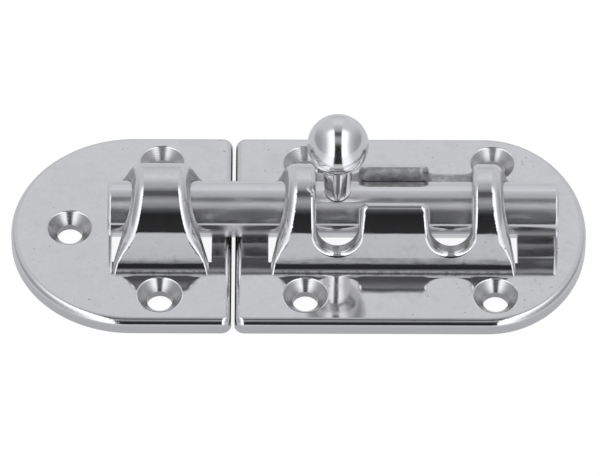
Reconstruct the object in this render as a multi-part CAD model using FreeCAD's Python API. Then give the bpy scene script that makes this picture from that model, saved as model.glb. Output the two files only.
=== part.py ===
"""Barrel bolt in polished stainless steel: two castings, a sliding bolt and its knob.

Frame: X runs along the bolt and Y across it. +Z is up from the surface that the bolt is screwed to.
The origin is on that surface, at the centre of the body casting's four screw holes.
The bolt is thrown towards -X and drawn back towards +X. At rest it is thrown, with the knob upright.
All sizes are in millimetres.
"""
import FreeCAD, Part
import math
import os

V = FreeCAD.Vector

# plates of the two castings
PLATE_T = 3.0
PLATE_HALF_W = 22.05
PLATE_EDGE_R = 1.2
PLATE_CORNER_R = 1.8
BODY_X = (-29.2, 33.1)
BODY_END_RX = 17.9
KEEPER_GAP = 0.6
KEEPER_L = 39.2
KEEPER_END_RX = 21.6

# countersunk screw holes
HOLE_R = 2.25
SINK_R = 4.0
SINK_RIM_R = 0.35
SINK_ANGLE = math.pi / 4
BODY_HOLES = (16.75, 15.65)
KEEPER_PAIR_X = -42.4
KEEPER_END_X = -58.6

# bolt rod
ROD_R = 5.0
ROD_L = 79.7
ROD_LEFT = -51.7
ROD_EDGE_R = 0.65
CLEARANCE = 0.1
AXIS_Z = PLATE_T + ROD_R + CLEARANCE
TRAVEL = 20.0

# section that both castings share: an arch about the bolt's axis, then walls that flare onto the plate
BORE_R = ROD_R + CLEARANCE
ARCH_R = 8.1
LEAN = math.radians(13.0)
FLARE_R = 41.0
FOOT_R = 2.0
TOE_LIP = 0.3
INNER_LEAN = math.radians(25.0)
SECTION_LOW_Z = 0.8

# housing on the body and strap on the keeper: where their ends stand, at the foot and at the crown
HOUSING_FOOT_X = (-22.8, 20.3)
HOUSING_CROWN_X = (-19.6, 17.45)
STRAP_X = -42.25
STRAP_FOOT_HALF = 8.4
STRAP_CROWN_HALF = 4.2
STRAP_CROWN_EDGE_R = 2.0
STRAP_FOOT_EDGE_R = 0.5
OPENING_HALF_W = 8.0
OPENING_PAST_FOOT = 0.5

# slot along the crown, and the two stations where the knob can be turned down
STATION_X = (-11.15, -11.15 + TRAVEL)
NOTCH_HALF_W = 3.85
NOTCH_FLOOR_Z = 6.0
DIP_FLOOR_Z = 9.1
DIP_CORNER_R = 1.6
SLOT_HALF_W = 3.35
FRONT_GATE_CORNER_R = 1.5
BACK_GATE_CORNER_R = 1.5
GATE_LIP_R = 1.2
NOTCH_LIP_R = 0.7
BACK_LIP_R = 1.2

# knob
KNOB_BALL_R = 5.4
KNOB_REACH = 17.0
STEM_R = (2.15, 2.6)
SADDLE_GAP = 0.05

# how far a cutting tool goes past what it cuts, how far it goes right through, and what counts as equal
PAST = 1.0
THROUGH = 20.0
SAME = 0.01


def line(a, b):
    return Part.LineSegment(a, b).toShape()


def arc(a, mid, b):
    return Part.Arc(a, mid, b).toShape()


def runs_of(edges):
    """Sort edges into runs that touch end to end, each edge with its start and end along the run.

    The first edge of a run sets which way the run goes.
    """
    left, runs = list(edges), []
    while left:
        first = left.pop(0)
        start, end = first.valueAt(first.FirstParameter), first.valueAt(first.LastParameter)
        run, forward = [(first, start, end)], True
        while True:
            here = end if forward else start
            touching = [e for e in left if any(v.Point.distanceToPoint(here) < SAME for v in e.Vertexes)]
            if not touching and not forward:
                break
            if not touching:
                forward = False
                continue
            edge = touching[0]
            left.remove(edge)
            there = max((v.Point for v in edge.Vertexes), key=here.distanceToPoint)
            run.append((edge, here, there) if forward else (edge, there, here))
            start, end = (start, there) if forward else (there, end)
        runs.append(run)
    return runs


def rounded(solid, edges, radius_at):
    """Round off edges. radius_at gives the radius at the ends of an edge, and it changes smoothly in between."""
    numbers = {edge.hashCode(): i for i, edge in enumerate(solid.Edges, 1)}
    radii = [
        (numbers[edge.hashCode()], radius_at(start), radius_at(end))
        for run in runs_of(edges)
        for edge, start, end in run
    ]
    document = FreeCAD.newDocument("rounding")
    base = document.addObject("Part::Feature", "base")
    base.Shape = solid
    fillet = document.addObject("Part::Fillet", "fillet")
    fillet.Base = base
    fillet.Edges = radii
    document.recompute()
    result = fillet.Shape.copy()
    FreeCAD.closeDocument(document.Name)
    return result


def plate(x_straight, x_round, round_rx):
    """Flat plate: one straight end with small corners, the other end half an ellipse."""
    way = 1 if x_round > x_straight else -1
    x_mid = x_round - way * round_rx
    w = PLATE_HALF_W
    corners = [V(x_mid, w, 0), V(x_straight, w, 0), V(x_straight, -w, 0), V(x_mid, -w, 0)]
    edges = [line(a, b) for a, b in zip(corners, corners[1:])]
    ellipse = Part.Ellipse(V(x_mid, w, 0), V(x_mid + round_rx, 0, 0), V(x_mid, 0, 0))
    halves = [ellipse.toShape(0, math.pi), ellipse.toShape(math.pi, 2 * math.pi)]
    edges += [half for half in halves if way * (half.CenterOfMass.x - x_mid) > 0]
    solid = Part.Face(Part.Wire(Part.sortEdges(edges)[0])).extrude(V(0, 0, PLATE_T))
    upright = [e for e in solid.Edges if e.BoundBox.ZLength > PLATE_T - SAME]
    corner_edges = [e for e in upright if abs(e.CenterOfMass.x - x_straight) < SAME]
    solid = solid.makeFillet(PLATE_CORNER_R, corner_edges)
    return solid.makeFillet(PLATE_EDGE_R, [e for e in solid.Edges if e.BoundBox.ZMin > PLATE_T - SAME])


def screw_hole(x, y):
    """Tool for one countersunk hole, with the rim of the sink rounded over."""
    cone_low = PLATE_T - (SINK_R - HOLE_R) / math.tan(SINK_ANGLE)
    side = SINK_R + math.tan(SINK_ANGLE / 2) * SINK_RIM_R
    rim_z = PLATE_T - SINK_RIM_R
    rim_low, rim_mid = (
        V(side - SINK_RIM_R * math.sin(turn), 0, rim_z + SINK_RIM_R * math.cos(turn))
        for turn in (SINK_ANGLE, SINK_ANGLE / 2)
    )
    rim_top = V(side, 0, PLATE_T)
    low, throat = V(HOLE_R, 0, -PAST), V(HOLE_R, 0, cone_low)
    above = V(side, 0, PLATE_T + PAST)
    middle = [V(0, 0, PLATE_T + PAST), V(0, 0, -PAST)]
    edges = [
        line(middle[1], low),
        line(low, throat),
        line(throat, rim_low),
        arc(rim_low, rim_mid, rim_top),
        line(rim_top, above),
        line(above, middle[0]),
        line(middle[0], middle[1]),
    ]
    tool = Part.Face(Part.Wire(edges)).revolve(V(0, 0, 0), V(0, 0, 1), 360)
    tool.translate(V(x, y, 0))
    return tool


def outer_side():
    """Down one side of the outside, arch to bottom: the wall flares out onto the plate."""
    flare_y = (ARCH_R + FLARE_R) * math.cos(LEAN)
    flare_z = AXIS_Z + (ARCH_R + FLARE_R) * math.sin(LEAN)
    foot_z = PLATE_T + FOOT_R
    foot_lean = math.asin((flare_z - foot_z) / (FLARE_R - FOOT_R))
    foot_y = flare_y - (FLARE_R - FOOT_R) * math.cos(foot_lean)
    mid_lean = (LEAN + foot_lean) / 2
    foot_mid = (foot_lean + math.pi / 2) / 2
    return [
        ("start", ARCH_R * math.cos(LEAN), AXIS_Z + ARCH_R * math.sin(LEAN)),
        ("mid", flare_y - FLARE_R * math.cos(mid_lean), flare_z - FLARE_R * math.sin(mid_lean)),
        ("arc", flare_y - FLARE_R * math.cos(foot_lean), flare_z - FLARE_R * math.sin(foot_lean)),
        ("mid", foot_y - FOOT_R * math.cos(foot_mid), foot_z - FOOT_R * math.sin(foot_mid)),
        ("arc", foot_y, PLATE_T),
        ("line", foot_y + TOE_LIP, PLATE_T),
        ("line", foot_y + TOE_LIP, SECTION_LOW_Z),
    ]


def inner_side():
    """Down one side of the inside: a flat wall that leaves the bore at a tangent."""
    low_y = (BORE_R + (AXIS_Z - SECTION_LOW_Z) * math.sin(INNER_LEAN)) / math.cos(INNER_LEAN)
    return [
        ("start", BORE_R * math.cos(INNER_LEAN), AXIS_Z + BORE_R * math.sin(INNER_LEAN)),
        ("line", low_y, SECTION_LOW_Z),
    ]


def bell_face(x, arch_r, points):
    """Section across the bolt: an arch about its axis, joined to a run of points down each side."""
    ends, edges = [], []
    for side in (-1, 1):
        here, mid = V(x, side * points[0][1], points[0][2]), None
        ends.append(here)
        for kind, y, z in points[1:]:
            there = V(x, side * y, z)
            if kind == "mid":
                mid = there
                continue
            edges.append(arc(here, mid, there) if kind == "arc" else line(here, there))
            here = there
        ends.append(here)
    edges.append(arc(ends[0], V(x, 0, AXIS_Z + arch_r), ends[2]))
    edges.append(line(ends[1], ends[3]))
    return Part.Face(Part.Wire(Part.sortEdges(edges)[0]))


def strap_edge_radius(point):
    """The outer edges of a strap are well rounded on its arch and fade to a crisp line at the foot."""
    return STRAP_CROWN_EDGE_R if point.z > AXIS_Z else STRAP_FOOT_EDGE_R


def shell(foot_x, crown_x):
    """Housing or strap: a hollow bell section, its ends sloping in towards the crown."""
    top = AXIS_Z + ARCH_R
    slopes = [(crown - foot) / (top - PLATE_T) for crown, foot in zip(crown_x, foot_x)]

    def corner(end, z):
        return V(foot_x[end] + slopes[end] * (z - PLATE_T), -THROUGH, z)

    low, high = SECTION_LOW_Z, top + PAST
    corners = [corner(0, low), corner(1, low), corner(1, high), corner(0, high)]
    ends = Part.Face(Part.makePolygon(corners + corners[:1])).extrude(V(0, 2 * THROUGH, 0))
    start = foot_x[0] - 2 * PAST
    along = V(foot_x[1] - foot_x[0] + 4 * PAST, 0, 0)
    solid = bell_face(start, ARCH_R, outer_side()).extrude(along).common(ends)
    across = [e for e in solid.Edges if e.BoundBox.XLength < (top - PLATE_T) / 2]
    solid = rounded(solid, [e for e in across if e.BoundBox.ZMax > PLATE_T + 0.1], strap_edge_radius)
    return solid.cut(bell_face(start, BORE_R, inner_side()).extrude(along))


def opening(foot_x):
    """Tool that opens the plate below a shell, a little past its feet."""
    length = foot_x[1] - foot_x[0] + 2 * OPENING_PAST_FOOT
    corner = V(foot_x[0] - OPENING_PAST_FOOT, -OPENING_HALF_W, -PAST)
    return Part.makeBox(length, 2 * OPENING_HALF_W, PLATE_T + PAST, corner)


def notch_tool(x):
    """Tool for one front notch: a U with a round floor, open upwards."""
    round_z = NOTCH_FLOOR_Z + NOTCH_HALF_W
    low = Part.makeCylinder(NOTCH_HALF_W, THROUGH, V(x, -THROUGH, round_z), V(0, 1, 0))
    high = Part.makeBox(2 * NOTCH_HALF_W, THROUGH, THROUGH, V(x - NOTCH_HALF_W, -THROUGH, round_z))
    return low.fuse(high)


def dip_tool(x):
    """Tool for one back dip: shallower than a notch, with rounded lower corners."""
    tool = Part.makeBox(2 * NOTCH_HALF_W, THROUGH, THROUGH, V(x - NOTCH_HALF_W, 0, DIP_FLOOR_Z))
    along_y = [e for e in tool.Edges if e.BoundBox.YLength > THROUGH - SAME]
    return tool.makeFillet(DIP_CORNER_R, [e for e in along_y if e.BoundBox.ZMax < DIP_FLOOR_Z + SAME])


def keyway():
    """Tool for the slot along the crown with its notches and dips."""
    low_x, high_x = STATION_X[0] - NOTCH_HALF_W, STATION_X[1] + NOTCH_HALF_W
    tool = Part.makeBox(high_x - low_x, 2 * SLOT_HALF_W, THROUGH, V(low_x, -SLOT_HALF_W, AXIS_Z))
    for x in STATION_X:
        tool = tool.fuse(notch_tool(x)).fuse(dip_tool(x))
    return tool.removeSplitter()


def is_gate_corner(edge):
    """True for an upright edge where the gate between the notches meets the slot."""
    box, middle = edge.BoundBox, edge.CenterOfMass
    upright = box.XLength < SAME and box.YLength < SAME and box.ZLength > 1
    beside_slot = abs(abs(middle.y) - SLOT_HALF_W) < SAME
    return upright and beside_slot and STATION_X[0] < middle.x < STATION_X[1]


def is_lip(edge):
    """True for an edge of the keyway that lies on the outside of the housing."""
    box = edge.BoundBox
    low_x, high_x = STATION_X[0] - NOTCH_HALF_W, STATION_X[1] + NOTCH_HALF_W
    if box.XMin < low_x - SAME or box.XMax > high_x + SAME or box.ZMin < PLATE_T + FOOT_R:
        return False
    middle = edge.valueAt((edge.FirstParameter + edge.LastParameter) / 2)
    where_walls_start = abs(middle.z - AXIS_Z - ARCH_R * math.sin(LEAN)) < SAME
    if where_walls_start and box.ZLength < SAME:
        return False
    return math.hypot(middle.y, middle.z - AXIS_Z) > ARCH_R - 0.05


def lip_radius(point):
    """The lip of the keyway is thin round the floors of the front notches, and fuller everywhere else."""
    if point.y > 0:
        return BACK_LIP_R
    return GATE_LIP_R if point.z > AXIS_Z + BORE_R else NOTCH_LIP_R


def body():
    """Main casting: plate and housing in one piece."""
    housing = shell(HOUSING_FOOT_X, HOUSING_CROWN_X).cut(keyway())
    for side, radius in ((-1, FRONT_GATE_CORNER_R), (1, BACK_GATE_CORNER_R)):
        corners = [e for e in housing.Edges if is_gate_corner(e) and side * e.CenterOfMass.y > 0]
        housing = housing.makeFillet(radius, corners)
    housing = rounded(housing, [e for e in housing.Edges if is_lip(e)], lip_radius)
    solid = plate(BODY_X[0], BODY_X[1], BODY_END_RX).fuse(housing).cut(opening(HOUSING_FOOT_X))
    for x in (-BODY_HOLES[0], BODY_HOLES[0]):
        for y in (-BODY_HOLES[1], BODY_HOLES[1]):
            solid = solid.cut(screw_hole(x, y))
    return solid


def keeper():
    """Keeper casting: plate and a closed strap that the bolt slides into."""
    foot = (STRAP_X - STRAP_FOOT_HALF, STRAP_X + STRAP_FOOT_HALF)
    crown = (STRAP_X - STRAP_CROWN_HALF, STRAP_X + STRAP_CROWN_HALF)
    right = BODY_X[0] - KEEPER_GAP
    solid = plate(right, right - KEEPER_L, KEEPER_END_RX).fuse(shell(foot, crown)).cut(opening(foot))
    for x, y in ((KEEPER_PAIR_X, -BODY_HOLES[1]), (KEEPER_PAIR_X, BODY_HOLES[1]), (KEEPER_END_X, 0)):
        solid = solid.cut(screw_hole(x, y))
    return solid


def bolt_rod():
    """Plain round bar with both ends rounded over."""
    rod = Part.makeCylinder(ROD_R, ROD_L, V(ROD_LEFT, 0, AXIS_Z), V(1, 0, 0))
    return rod.makeFillet(ROD_EDGE_R, [e for e in rod.Edges if e.BoundBox.XLength < SAME])


def knob():
    """Ball on a tapered stem, upright over the left station, its foot shaped to the rod."""
    ball_z = AXIS_Z + KNOB_REACH
    neck = V(STEM_R[1], 0, ball_z - math.sqrt(KNOB_BALL_R ** 2 - STEM_R[1] ** 2))
    axis_point, foot, top = V(0, 0, AXIS_Z), V(STEM_R[0], 0, AXIS_Z), V(0, 0, ball_z + KNOB_BALL_R)
    edges = [
        line(axis_point, foot),
        line(foot, neck),
        arc(neck, V(KNOB_BALL_R, 0, ball_z), top),
        line(top, axis_point),
    ]
    solid = Part.Face(Part.Wire(edges)).revolve(V(0, 0, 0), V(0, 0, 1), 360)
    solid.translate(V(STATION_X[0], 0, 0))
    low_x = STATION_X[0] - THROUGH / 2
    rod_space = Part.makeCylinder(ROD_R + SADDLE_GAP, THROUGH, V(low_x, 0, AXIS_Z), V(1, 0, 0))
    return solid.cut(rod_space)


def main():
    os.makedirs("parts", exist_ok=True)
    for make in (body, keeper, bolt_rod, knob):
        make().Solids[0].exportStep(f"parts/{make.__name__}.step")


main()
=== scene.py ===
"""Barrel bolt in polished stainless steel: materials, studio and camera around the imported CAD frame."""
import math

import bpy
from mathutils import Matrix, Vector


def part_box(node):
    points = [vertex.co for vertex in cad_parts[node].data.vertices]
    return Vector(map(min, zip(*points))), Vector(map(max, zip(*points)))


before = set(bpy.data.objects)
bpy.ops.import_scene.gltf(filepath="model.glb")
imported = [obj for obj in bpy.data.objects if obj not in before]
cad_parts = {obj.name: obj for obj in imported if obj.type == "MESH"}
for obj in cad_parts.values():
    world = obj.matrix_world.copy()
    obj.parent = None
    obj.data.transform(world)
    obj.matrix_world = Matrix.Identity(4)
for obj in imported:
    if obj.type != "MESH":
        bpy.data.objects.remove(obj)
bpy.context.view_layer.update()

# lengths in metres, angles in degrees
MM = 0.001
PLATE_TOP = 3.0 * MM
AXIS_Z = (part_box("bolt_rod")[0].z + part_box("bolt_rod")[1].z) / 2
# middle of the gap between the two plates
GAP_X = (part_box("keeper")[1].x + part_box("body")[0].x) / 2
# within this distance of the bolt's axis the castings are bare, outside it they are polished
POLISHED_FROM = 7.1 * MM
SINK_R = 4.0 * MM
# where the keyway starts and ends; the keeper has none, so its values lie outside it
BODY_KEYWAY = (-15.2 * MM, 12.9 * MM)
NO_KEYWAY = (1.0, 1.0)
# screw holes: where each stands along the bolt, and how far from the middle
BODY_HOLES = ((-16.75 * MM, 15.65 * MM), (16.75 * MM, 15.65 * MM))
KEEPER_HOLES = ((-42.4 * MM, 15.65 * MM), (-58.6 * MM, 0.0))
# painted shadow in the joint between knob and bar fades out between these distances from the axis
KNOB_JOINT = (5.2 * MM, 5.5 * MM)

# colours of the metal from light to dark: clean and dirty steel, and painted shade
STEEL = (0.74, 0.735, 0.735, 1)
DULL_STEEL = (0.58, 0.575, 0.57, 1)
BAR_STAIN = (0.5, 0.5, 0.52, 1)
GROUND_STEEL_SHADED = (0.58, 0.575, 0.575, 1)
CAST_STEEL = (0.52, 0.52, 0.52, 1)
MOTTLE = (0.5, 0.495, 0.49, 1)
STAIN = (0.5, 0.49, 0.48, 1)
CAST_DIRT = (0.32, 0.315, 0.31, 1)
GRIME = (0.3, 0.29, 0.28, 1)
PIT = (0.22, 0.21, 0.2, 1)
SINK_THROAT_SHADE = (0.2, 0.195, 0.19, 1)
GAP_SHADE = (0.16, 0.155, 0.15, 1)
JOINT_SHADOW = (0.03, 0.03, 0.03, 1)

# camera; its aim is measured from the middle of the two plates
CAMERA_ELEVATION = 48.5
CAMERA_AZIMUTH = 0.25
CAMERA_ROLL = 0.38
CAMERA_DISTANCE = 1137 * MM
CAMERA_AIM = (0.25 * MM, 0.0, 0.45 * MM)
LENS = 383.6
SENSOR = 36.0


class Tree:
    """Short calls for building a node tree. A value can be a number, a vector or another node's output."""

    def __init__(self, tree):
        self.tree = tree
        tree.nodes.clear()

    def node(self, kind, inputs=(), out=0, **settings):
        node = self.tree.nodes.new(kind)
        for name, value in settings.items():
            setattr(node, name, value)
        for key, value in dict(inputs).items():
            if isinstance(value, bpy.types.NodeSocket):
                self.tree.links.new(value, node.inputs[key])
            else:
                node.inputs[key].default_value = value
        return node.outputs[out] if node.outputs else None

    def math(self, operation, *values, clamp=False):
        return self.node("ShaderNodeMath", dict(enumerate(values)), operation=operation, use_clamp=clamp)

    def vector(self, operation, *values):
        return self.node("ShaderNodeVectorMath", dict(enumerate(values)), operation=operation)

    def split(self, vector):
        node = self.node("ShaderNodeSeparateXYZ", {0: vector}).node
        return [node.outputs[i] for i in range(3)]

    def join(self, x, y, z):
        return self.node("ShaderNodeCombineXYZ", {0: x, 1: y, 2: z})

    def step(self, value, low, high, to_low=0.0, to_high=1.0):
        """Smooth step: to_low where value is below low, to_high above high."""
        inputs = {"Value": value, "From Min": low, "From Max": high, "To Min": to_low, "To Max": to_high}
        return self.node("ShaderNodeMapRange", inputs, interpolation_type="SMOOTHSTEP")

    def mix(self, share, a, b):
        """a where share is 0, b where it is 1; for numbers."""
        return self.node("ShaderNodeMix", {0: share, 2: a, 3: b}, data_type="FLOAT")

    def mix_color(self, share, a, b):
        """a where share is 0, b where it is 1; for colours."""
        return self.node("ShaderNodeMix", {0: share, 6: a, 7: b}, out=2, data_type="RGBA")

    def noise(self, vector, scale, detail=2.0, roughness=0.5):
        inputs = {"Vector": vector, "Scale": scale, "Detail": detail, "Roughness": roughness}
        return self.node("ShaderNodeTexNoise", inputs)

    def bump(self, height, distance, strength, normal=None):
        inputs = {"Height": height, "Distance": distance, "Strength": strength}
        if normal is not None:
            inputs["Normal"] = normal
        return self.node("ShaderNodeBump", inputs)

    def surface(self, shader):
        self.node("ShaderNodeOutputMaterial", {"Surface": shader})

    def ramp(self, value, stops):
        """Grey ramp through (place, brightness) stops; places run from 0 to 1."""
        output = self.node("ShaderNodeValToRGB", {0: value})
        elements = output.node.color_ramp.elements
        for place, _ in stops[1:-1]:
            elements.new(place)
        for element, (place, level) in zip(elements, stops):
            element.position = place
            element.color = (level, level, level, 1)
        return output


# studio: a light tent with a dark slit at the camera's side, and a bright strip at each side of the slit
# along the slit, (degrees above the horizon in front, brightness): dark opening, lamp, dark top, tent behind
SLIT_LEVELS = (
    (-15, 0.12), (-5, 0.035), (35, 0.025), (46, 0.11), (54, 0.3), (67, 0.46), (75, 0.34),
    (83, 0.12), (92, 0.12), (104, 0.47), (116, 0.57), (135, 0.84), (150, 0.8), (180, 0.66),
)
# degrees to the side of the slit's middle: where the slit ends, the strips fade out and the tent darkens
SLIT_EDGE = (11, 15)
STRIP_FADE = (20, 50)
SIDE_FADE = (35, 75)
# degrees above the horizon in front: where the strips end
STRIP_TOP = (94, 118)
TENT_LEVEL = 0.72
SIDE_LEVEL = 0.42
STRIP_LEVEL = 1.7
TENT_TINT = (0.965, 0.98, 1.03, 1)
WHITE = (1, 1, 1, 1)

# floor: pale paper, as the camera sees it and as the metal reflects it
FLOOR_HALF = 2.0
FLOOR_Z = -0.05 * MM
PAPER_SEEN = (0.9, 0.9, 0.9, 1)
PAPER_SHADED = (0.16, 0.16, 0.16, 1)
PAPER_LEVEL = 0.7
PAPER_STRIP = 0.6
PAST_PAPER_LEVEL = 0.035
PAPER_EDGE_Y = (-52 * MM, -42 * MM)
PAPER_STRIP_Y = (-31 * MM, -26 * MM)
# how far a mirrored ray leans to the side, from 0 to 1: where the slit ends, the strips fade in and out
SLIT_LEAN = (0.19, 0.26)
STRIP_IN_LEAN = (0.2, 0.26)
STRIP_OUT_LEAN = (0.45, 0.85)


def tent_level(tree, direction):
    """Brightness of the light tent in a direction."""
    x, y, z = tree.split(direction)
    aside = tree.math("DEGREES", tree.math("ARCSINE", tree.math("ABSOLUTE", x)))
    tilt = tree.math("DEGREES", tree.math("ARCTAN2", z, tree.math("MULTIPLY", y, -1.0)))
    low, high = SLIT_LEVELS[0][0], SLIT_LEVELS[-1][0]
    place = tree.math("DIVIDE", tree.math("SUBTRACT", tilt, low), high - low, clamp=True)
    slit = tree.ramp(place, [((a - low) / (high - low), level) for a, level in SLIT_LEVELS])
    in_front = tree.step(tilt, *STRIP_TOP, 1.0, 0.0)
    tent = tree.step(aside, *SIDE_FADE, TENT_LEVEL, SIDE_LEVEL)
    strip = tree.math("ADD", tent, tree.step(aside, *STRIP_FADE, STRIP_LEVEL - TENT_LEVEL, 0.0))
    strip = tree.mix(in_front, tent, strip)
    in_slit = tree.step(aside, *SLIT_EDGE, 1.0, 0.0)
    return tree.mix(in_slit, strip, slit)


def make_world():
    """The metal mirrors the tent. The camera sees plain white."""
    world = bpy.data.worlds.new("studio")
    world.use_nodes = True
    bpy.context.scene.world = world
    tree = Tree(world.node_tree)
    direction = tree.node("ShaderNodeTexCoord", out=0)
    level = tent_level(tree, direction)
    seen = tree.node("ShaderNodeLightPath", out=0)
    level = tree.mix(seen, level, 1.0)
    tint = tree.mix_color(seen, TENT_TINT, WHITE)
    background = tree.node("ShaderNodeBackground", {"Color": tint, "Strength": level})
    tree.node("ShaderNodeOutputWorld", {"Surface": background})


def make_floor():
    """Pale floor. The metal mirrors it dark past the paper's front edge, and brighter by the strips."""
    mesh = bpy.data.meshes.new("floor")
    low, high = -FLOOR_HALF, FLOOR_HALF
    corners = [(low, low, 0), (high, low, 0), (high, high, 0), (low, high, 0)]
    mesh.from_pydata(corners, [], [(0, 1, 2, 3)])
    floor = bpy.data.objects.new("floor", mesh)
    floor.location.z = FLOOR_Z
    bpy.context.scene.collection.objects.link(floor)
    material = bpy.data.materials.new("pale_floor")
    material.use_nodes = True
    mesh.materials.append(material)
    tree = Tree(material.node_tree)
    path = tree.node("ShaderNodeLightPath").node.outputs
    geometry = tree.node("ShaderNodeNewGeometry").node.outputs
    y = tree.split(geometry["Position"])[1]
    lean = tree.math("ABSOLUTE", tree.split(geometry["Incoming"])[0])
    past_paper = tree.step(y, *PAPER_EDGE_Y, 1.0, 0.0)
    dark = tree.math("MULTIPLY", past_paper, tree.step(lean, *SLIT_LEAN, 1.0, 0.0))
    strip = tree.math("MULTIPLY", tree.step(lean, *STRIP_IN_LEAN), tree.step(lean, *STRIP_OUT_LEAN, 1.0, 0.0))
    strip = tree.math("MULTIPLY", strip, tree.step(y, *PAPER_STRIP_Y, 1.0, 0.0))
    level = tree.math("MULTIPLY_ADD", strip, PAPER_STRIP, PAPER_LEVEL)
    level = tree.mix(dark, level, PAST_PAPER_LEVEL)
    glow = tree.node("ShaderNodeEmission", {"Color": TENT_TINT, "Strength": level})
    white = tree.node("ShaderNodeEmission", {"Color": PAPER_SEEN})
    diffuse = tree.node("ShaderNodeBsdfDiffuse", {"Color": PAPER_SHADED})
    paper = tree.node("ShaderNodeAddShader", {0: diffuse, 1: white})
    tree.surface(tree.node("ShaderNodeMixShader", {0: path["Is Camera Ray"], 1: glow, 2: paper}))


def radius_about_bolt(tree, y, z):
    """Distance to the bolt's axis."""
    up = tree.math("SUBTRACT", z, AXIS_Z)
    return tree.math("SQRT", tree.math("MULTIPLY_ADD", y, y, tree.math("MULTIPLY", up, up)))


def within(tree, value, low, high, soft):
    """1 where value lies between low and high, fading to 0 over soft at both ends."""
    above = tree.step(value, low - soft, low)
    below = tree.step(value, high, high + soft, 1.0, 0.0)
    return tree.math("MULTIPLY", above, below)


def near_holes(tree, x, y, holes):
    """Distance to the axis of the nearest screw hole; each hole is given as (x, distance from the middle)."""
    nearest = 1.0
    for hole_x, hole_y in holes:
        dx = tree.math("SUBTRACT", x, hole_x)
        dy = tree.math("SUBTRACT", tree.math("ABSOLUTE", y), hole_y)
        squared = tree.math("MULTIPLY_ADD", dx, dx, tree.math("MULTIPLY", dy, dy))
        nearest = tree.math("MINIMUM", nearest, squared)
    return tree.math("SQRT", nearest)


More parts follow.
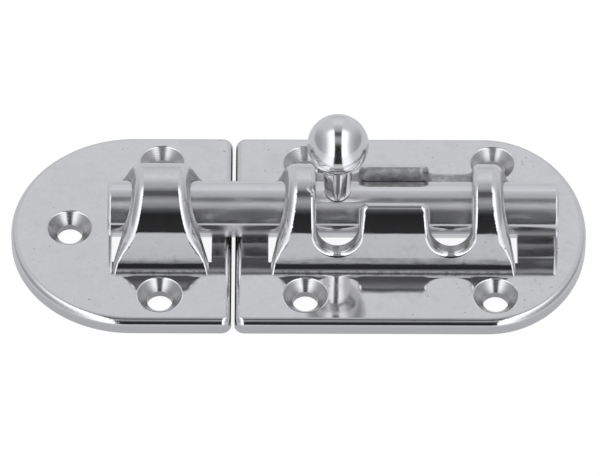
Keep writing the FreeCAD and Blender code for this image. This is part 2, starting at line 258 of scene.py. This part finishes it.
def casting_steel(name, holes, keyway):
    """Mirror-polished cast steel. Bare casting where no wheel reaches: the bore and the slot."""
    material = bpy.data.materials.new(name)
    material.use_nodes = True
    tree = Tree(material.node_tree)
    place = tree.node("ShaderNodeTexCoord", out=3)
    x, y, z = tree.split(place)

    # bare casting: near the bolt's axis, a little further out in the slot's back wall and low in the bore
    wander = tree.math("SUBTRACT", tree.noise(place, 700, 2), 0.5)
    ragged = tree.math("MULTIPLY", wander, 0.5 * MM)
    radius = tree.math("ADD", radius_about_bolt(tree, y, z), ragged)
    in_keyway = within(tree, x, *keyway, 0.3 * MM)
    at_back = tree.math("MULTIPLY", tree.step(y, 1 * MM, 2 * MM), in_keyway)
    limit = tree.mix(at_back, POLISHED_FROM, POLISHED_FROM + 0.5 * MM)
    under = tree.math("MAXIMUM", tree.math("SUBTRACT", AXIS_Z, z), 0.0)
    limit = tree.math("MULTIPLY_ADD", under, 0.6, limit)
    bare = tree.step(tree.math("SUBTRACT", radius, limit), -0.15 * MM, 0.25 * MM, 1.0, 0.0)
    bare = tree.math("MULTIPLY", bare, tree.step(z, PLATE_TOP + 0.2 * MM, PLATE_TOP + 0.6 * MM))

    # countersinks are turned: rings about the hole; painted shade darkens them towards the throat
    hole = near_holes(tree, x, y, holes)
    below = tree.step(z, PLATE_TOP - 0.12 * MM, PLATE_TOP - 0.04 * MM, 1.0, 0.0)
    sink = tree.math("MULTIPLY", tree.step(hole, SINK_R, SINK_R + 0.1 * MM, 1.0, 0.0), below)
    throat_shade = tree.math("MULTIPLY", sink, tree.step(z, 0.9 * MM, 2.1 * MM, 0.6, 0.0))
    ring_spacing = 0.22 * MM
    rings = tree.math("SINE", tree.math("MULTIPLY", hole, 2 * math.pi / ring_spacing))

    # plate edges are ground, not buffed, and painted darker as shade; the two that face each other across the
    # gap are painted dark as shade between the plates
    side = tree.step(z, 1.6 * MM, 2.3 * MM, 1.0, 0.0)
    in_gap = within(tree, x, GAP_X - 0.5 * MM, GAP_X + 0.5 * MM, 0.02 * MM)
    facing_shade = tree.math("MULTIPLY", in_gap, tree.step(z, 2.0 * MM, 2.6 * MM, 1.0, 0.0))

    # polishing marks, pits and dirt
    cloud = tree.noise(place, 120, 3, 0.55)
    mottle = tree.step(tree.noise(place, 900, 4, 0.65), 0.45, 0.7)
    stain = tree.step(tree.noise(place, 230, 5, 0.7), 0.5, 0.66)
    smudge = tree.step(tree.noise(place, 420, 4, 0.6), 0.54, 0.7)
    waves = tree.noise(place, 260, 1)
    grain = tree.noise(place, 5200, 3, 0.6)
    patch = tree.step(tree.noise(place, 90, 2), 0.42, 0.62)
    pit_from = tree.mix(patch, 0.74, 0.69)
    pit = tree.step(tree.math("SUBTRACT", tree.noise(place, 1500, 2, 0.5), pit_from), 0.0, 0.05)
    lengthwise = tree.vector("MULTIPLY", place, (0.1, 1, 1))
    scratch = tree.step(tree.noise(lengthwise, 5000, 2), 0.6, 0.75)
    foot = within(tree, z, PLATE_TOP + 0.15 * MM, PLATE_TOP + 1.1 * MM, 0.3 * MM)
    toe = within(tree, z, PLATE_TOP + 0.06 * MM, PLATE_TOP + 0.4 * MM, 0.05 * MM)
    grime = tree.math("MULTIPLY", toe, tree.step(tree.noise(place, 650, 4, 0.7), 0.42, 0.62))
    clean = tree.step(tree.noise(place, 800, 4, 0.7), 0.35, 0.65)

    rough = tree.math("MULTIPLY_ADD", cloud, 0.06, 0.035)
    rough = tree.math("MULTIPLY_ADD", smudge, 0.06, rough)
    rough = tree.math("MULTIPLY_ADD", scratch, 0.05, rough)
    for where, roughness in ((foot, 0.07), (side, 0.22), (sink, 0.17), (bare, 0.36)):
        rough = tree.mix(where, rough, roughness)

    tone = tree.mix_color(tree.math("MULTIPLY", cloud, 0.3), STEEL, DULL_STEEL)
    for where, share, color in (
        (mottle, 0.12, MOTTLE),
        (stain, 0.1, STAIN),
        (grime, 0.6, GRIME),
        (pit, 0.7, PIT),
        # ground edges, painted darker for the contact shadow on the floor they mirror
        (side, 1.0, GROUND_STEEL_SHADED),
        # painted shade on the walls facing each other across the gap
        (facing_shade, 1.0, GAP_SHADE),
        (sink, 1.0, DULL_STEEL),
        # painted shade deep in the countersink
        (throat_shade, 1.0, SINK_THROAT_SHADE),
        (bare, 1.0, tree.mix_color(clean, CAST_DIRT, CAST_STEEL)),
    ):
        tone = tree.mix_color(tree.math("MULTIPLY", where, share), tone, color)

    bump = tree.bump(waves, 0.03 * MM, 0.5)
    bump = tree.bump(rings, 0.01 * MM, tree.mix(sink, 0.0, 0.6), bump)
    bump = tree.bump(grain, 0.06 * MM, tree.mix(bare, 0.012, 0.6), bump)
    inputs = {"Base Color": tone, "Metallic": 1.0, "Roughness": rough, "Normal": bump}
    tree.surface(tree.node("ShaderNodeBsdfPrincipled", inputs))
    return material


def turned_steel(name, rough):
    """Turned and buffed steel: faint waves, smudges and a few pits, and painted shadow where the knob meets
    the bar.
    """
    material = bpy.data.materials.new(name)
    material.use_nodes = True
    tree = Tree(material.node_tree)
    place = tree.node("ShaderNodeTexCoord", out=3)
    y, z = tree.split(place)[1:]
    smudge = tree.step(tree.noise(place, 500, 4, 0.6), 0.5, 0.7)
    pit = tree.step(tree.noise(place, 1800, 2, 0.5), 0.74, 0.8)
    # painted shadow in the crease where the knob's stem meets the bar
    seam_shade = tree.step(radius_about_bolt(tree, y, z), *KNOB_JOINT, 1.0, 0.0)
    roughness = tree.math("MULTIPLY_ADD", smudge, 0.05, rough)
    tone = tree.mix_color(tree.math("MULTIPLY", pit, 0.5), STEEL, GRIME)
    tone = tree.mix_color(seam_shade, tone, JOINT_SHADOW)
    bump = tree.bump(tree.noise(place, 300, 1), 0.02 * MM, 0.4)
    inputs = {"Base Color": tone, "Metallic": 1.0, "Roughness": roughness, "Normal": bump}
    tree.surface(tree.node("ShaderNodeBsdfPrincipled", inputs))
    return material


def satin_bar(name):
    """Bar polished as it spins: the marks run round it, so reflections smear along its length."""
    material = bpy.data.materials.new(name)
    material.use_nodes = True
    tree = Tree(material.node_tree)
    place = tree.node("ShaderNodeTexCoord", out=3)
    marks = tree.noise(tree.vector("MULTIPLY", place, (1, 0.05, 0.05)), 6000, 3, 0.6)
    cloud = tree.noise(place, 150, 3)
    stain = tree.step(tree.noise(tree.vector("MULTIPLY", place, (0.4, 1, 1)), 500, 3), 0.5, 0.72)
    roughness = tree.math("MULTIPLY_ADD", cloud, 0.06, 0.125)
    roughness = tree.math("MULTIPLY_ADD", stain, 0.05, roughness)
    tone = tree.mix_color(tree.math("MULTIPLY", stain, 0.25), STEEL, BAR_STAIN)
    bump = tree.bump(marks, 0.006 * MM, 0.35)
    inputs = {
        "Base Color": tone,
        "Metallic": 1.0,
        "Roughness": roughness,
        "Normal": bump,
        "Anisotropic": 0.88,
        "Tangent": tree.join(1.0, 0.0, 0.0),
    }
    tree.surface(tree.node("ShaderNodeBsdfPrincipled", inputs))
    return material


def make_camera():
    """Looks at the middle of the two plates from the front, high up, through a long lens."""
    low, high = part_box("keeper")[0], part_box("body")[1]
    target = Vector(((low.x + high.x) / 2, 0, 0)) + Vector(CAMERA_AIM)
    a, e = math.radians(CAMERA_AZIMUTH), math.radians(CAMERA_ELEVATION)
    back = Vector((-math.sin(a) * math.cos(e), -math.cos(a) * math.cos(e), math.sin(e)))
    data = bpy.data.cameras.new("camera")
    data.lens, data.sensor_width = LENS, SENSOR
    data.clip_start, data.clip_end = 0.01, 10
    camera = bpy.data.objects.new("camera", data)
    camera.matrix_world = (
        Matrix.Translation(target + back * CAMERA_DISTANCE)
        @ (-back).to_track_quat("-Z", "Y").to_matrix().to_4x4()
        @ Matrix.Rotation(math.radians(CAMERA_ROLL), 4, "Z")
    )
    bpy.context.scene.collection.objects.link(camera)
    bpy.context.scene.camera = camera


def dress(node, material):
    """Give a CAD node one material."""
    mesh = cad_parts[node].data
    mesh.materials.clear()
    mesh.materials.append(material)


make_world()
make_floor()
make_camera()
dress("body", casting_steel("polished_body", BODY_HOLES, BODY_KEYWAY))
dress("keeper", casting_steel("polished_keeper", KEEPER_HOLES, NO_KEYWAY))
dress("bolt_rod", satin_bar("satin_bar"))
dress("knob", turned_steel("polished_turning", rough=0.1))
bpy.context.scene.view_settings.view_transform = "Standard"
